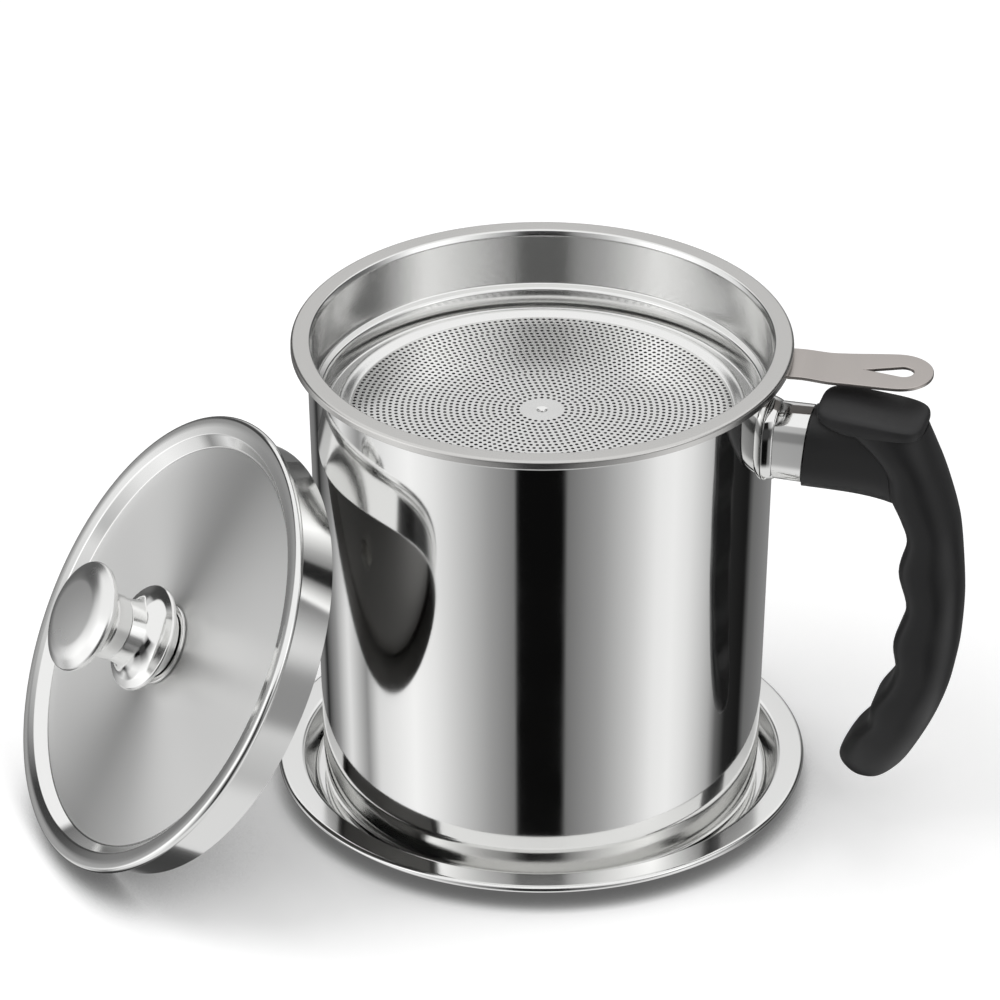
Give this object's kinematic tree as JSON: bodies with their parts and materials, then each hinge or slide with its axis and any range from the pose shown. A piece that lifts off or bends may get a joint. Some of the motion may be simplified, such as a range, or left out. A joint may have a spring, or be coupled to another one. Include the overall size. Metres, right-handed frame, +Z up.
{
  "type": "bacon grease container",
  "caption": "Steel grease pot with a strainer hung in its rim, a side handle, a drip tray and a knobbed lid that leans beside it.",
  "frame": {"origin": "centre of the tray's flat underside, on the surface the object stands on", "axes": "+Z up along the pot's axis; +X from the pot's axis through the middle of the handle"},
  "size_m": [0.2466, 0.1778, 0.1304],
  "materials": {
    "tray_steel": "bright satin spun stainless steel",
    "pot_steel": "mirror-polished stainless steel",
    "bracket_steel": "plain machined steel, welded to the wall",
    "ferrule_steel": "mirror-polished stainless steel",
    "grip_plastic": "matte black moulded plastic",
    "pad_plastic": "finely grained matte black plastic",
    "fastener_steel": "zinc-bright machine screw steel",
    "strainer_steel": "polished stainless steel with a satin flange",
    "plate_steel": "satin perforated stainless steel",
    "tab_steel": "satin stainless steel, warm grey",
    "lid_steel": "satin stainless steel with a radial sheen, polished skirt",
    "knob_steel": "polished turned stainless steel"
  },
  "bodies": {
    "tray": {"tray": "tray_steel"},
    "pot": {"pot_shell": "pot_steel", "handle_bracket": "bracket_steel", "ferrule": "ferrule_steel", "handle_grip": "grip_plastic", "thumb_pad": "pad_plastic", "handle_screw": "fastener_steel", "handle_washer": "fastener_steel"},
    "strainer": {"strainer_cup": "strainer_steel", "strainer_plate": "plate_steel", "strainer_tab": "tab_steel"},
    "lid": {"lid_shell": "lid_steel", "knob_cap": "knob_steel", "knob_neck": "knob_steel", "knob_collar": "knob_steel", "knob_base": "knob_steel", "knob_screw": "fastener_steel", "knob_washer": "fastener_steel"}
  },
  "joints": [
    {"name": "pot_lift", "type": "slide", "parent": "tray", "child": "pot", "axis": [0, 0, 1], "range_m": [0, 0.15]},
    {"name": "strainer_lift", "type": "slide", "parent": "pot", "child": "strainer", "axis": [0, 0, 1], "range_m": [0, 0.12]},
    {"name": "lid_away", "type": "slide", "parent": "tray", "child": "lid", "axis": [-0.6835, -0.5113, 0.521], "range_m": [0, 0.15]}
  ]
}
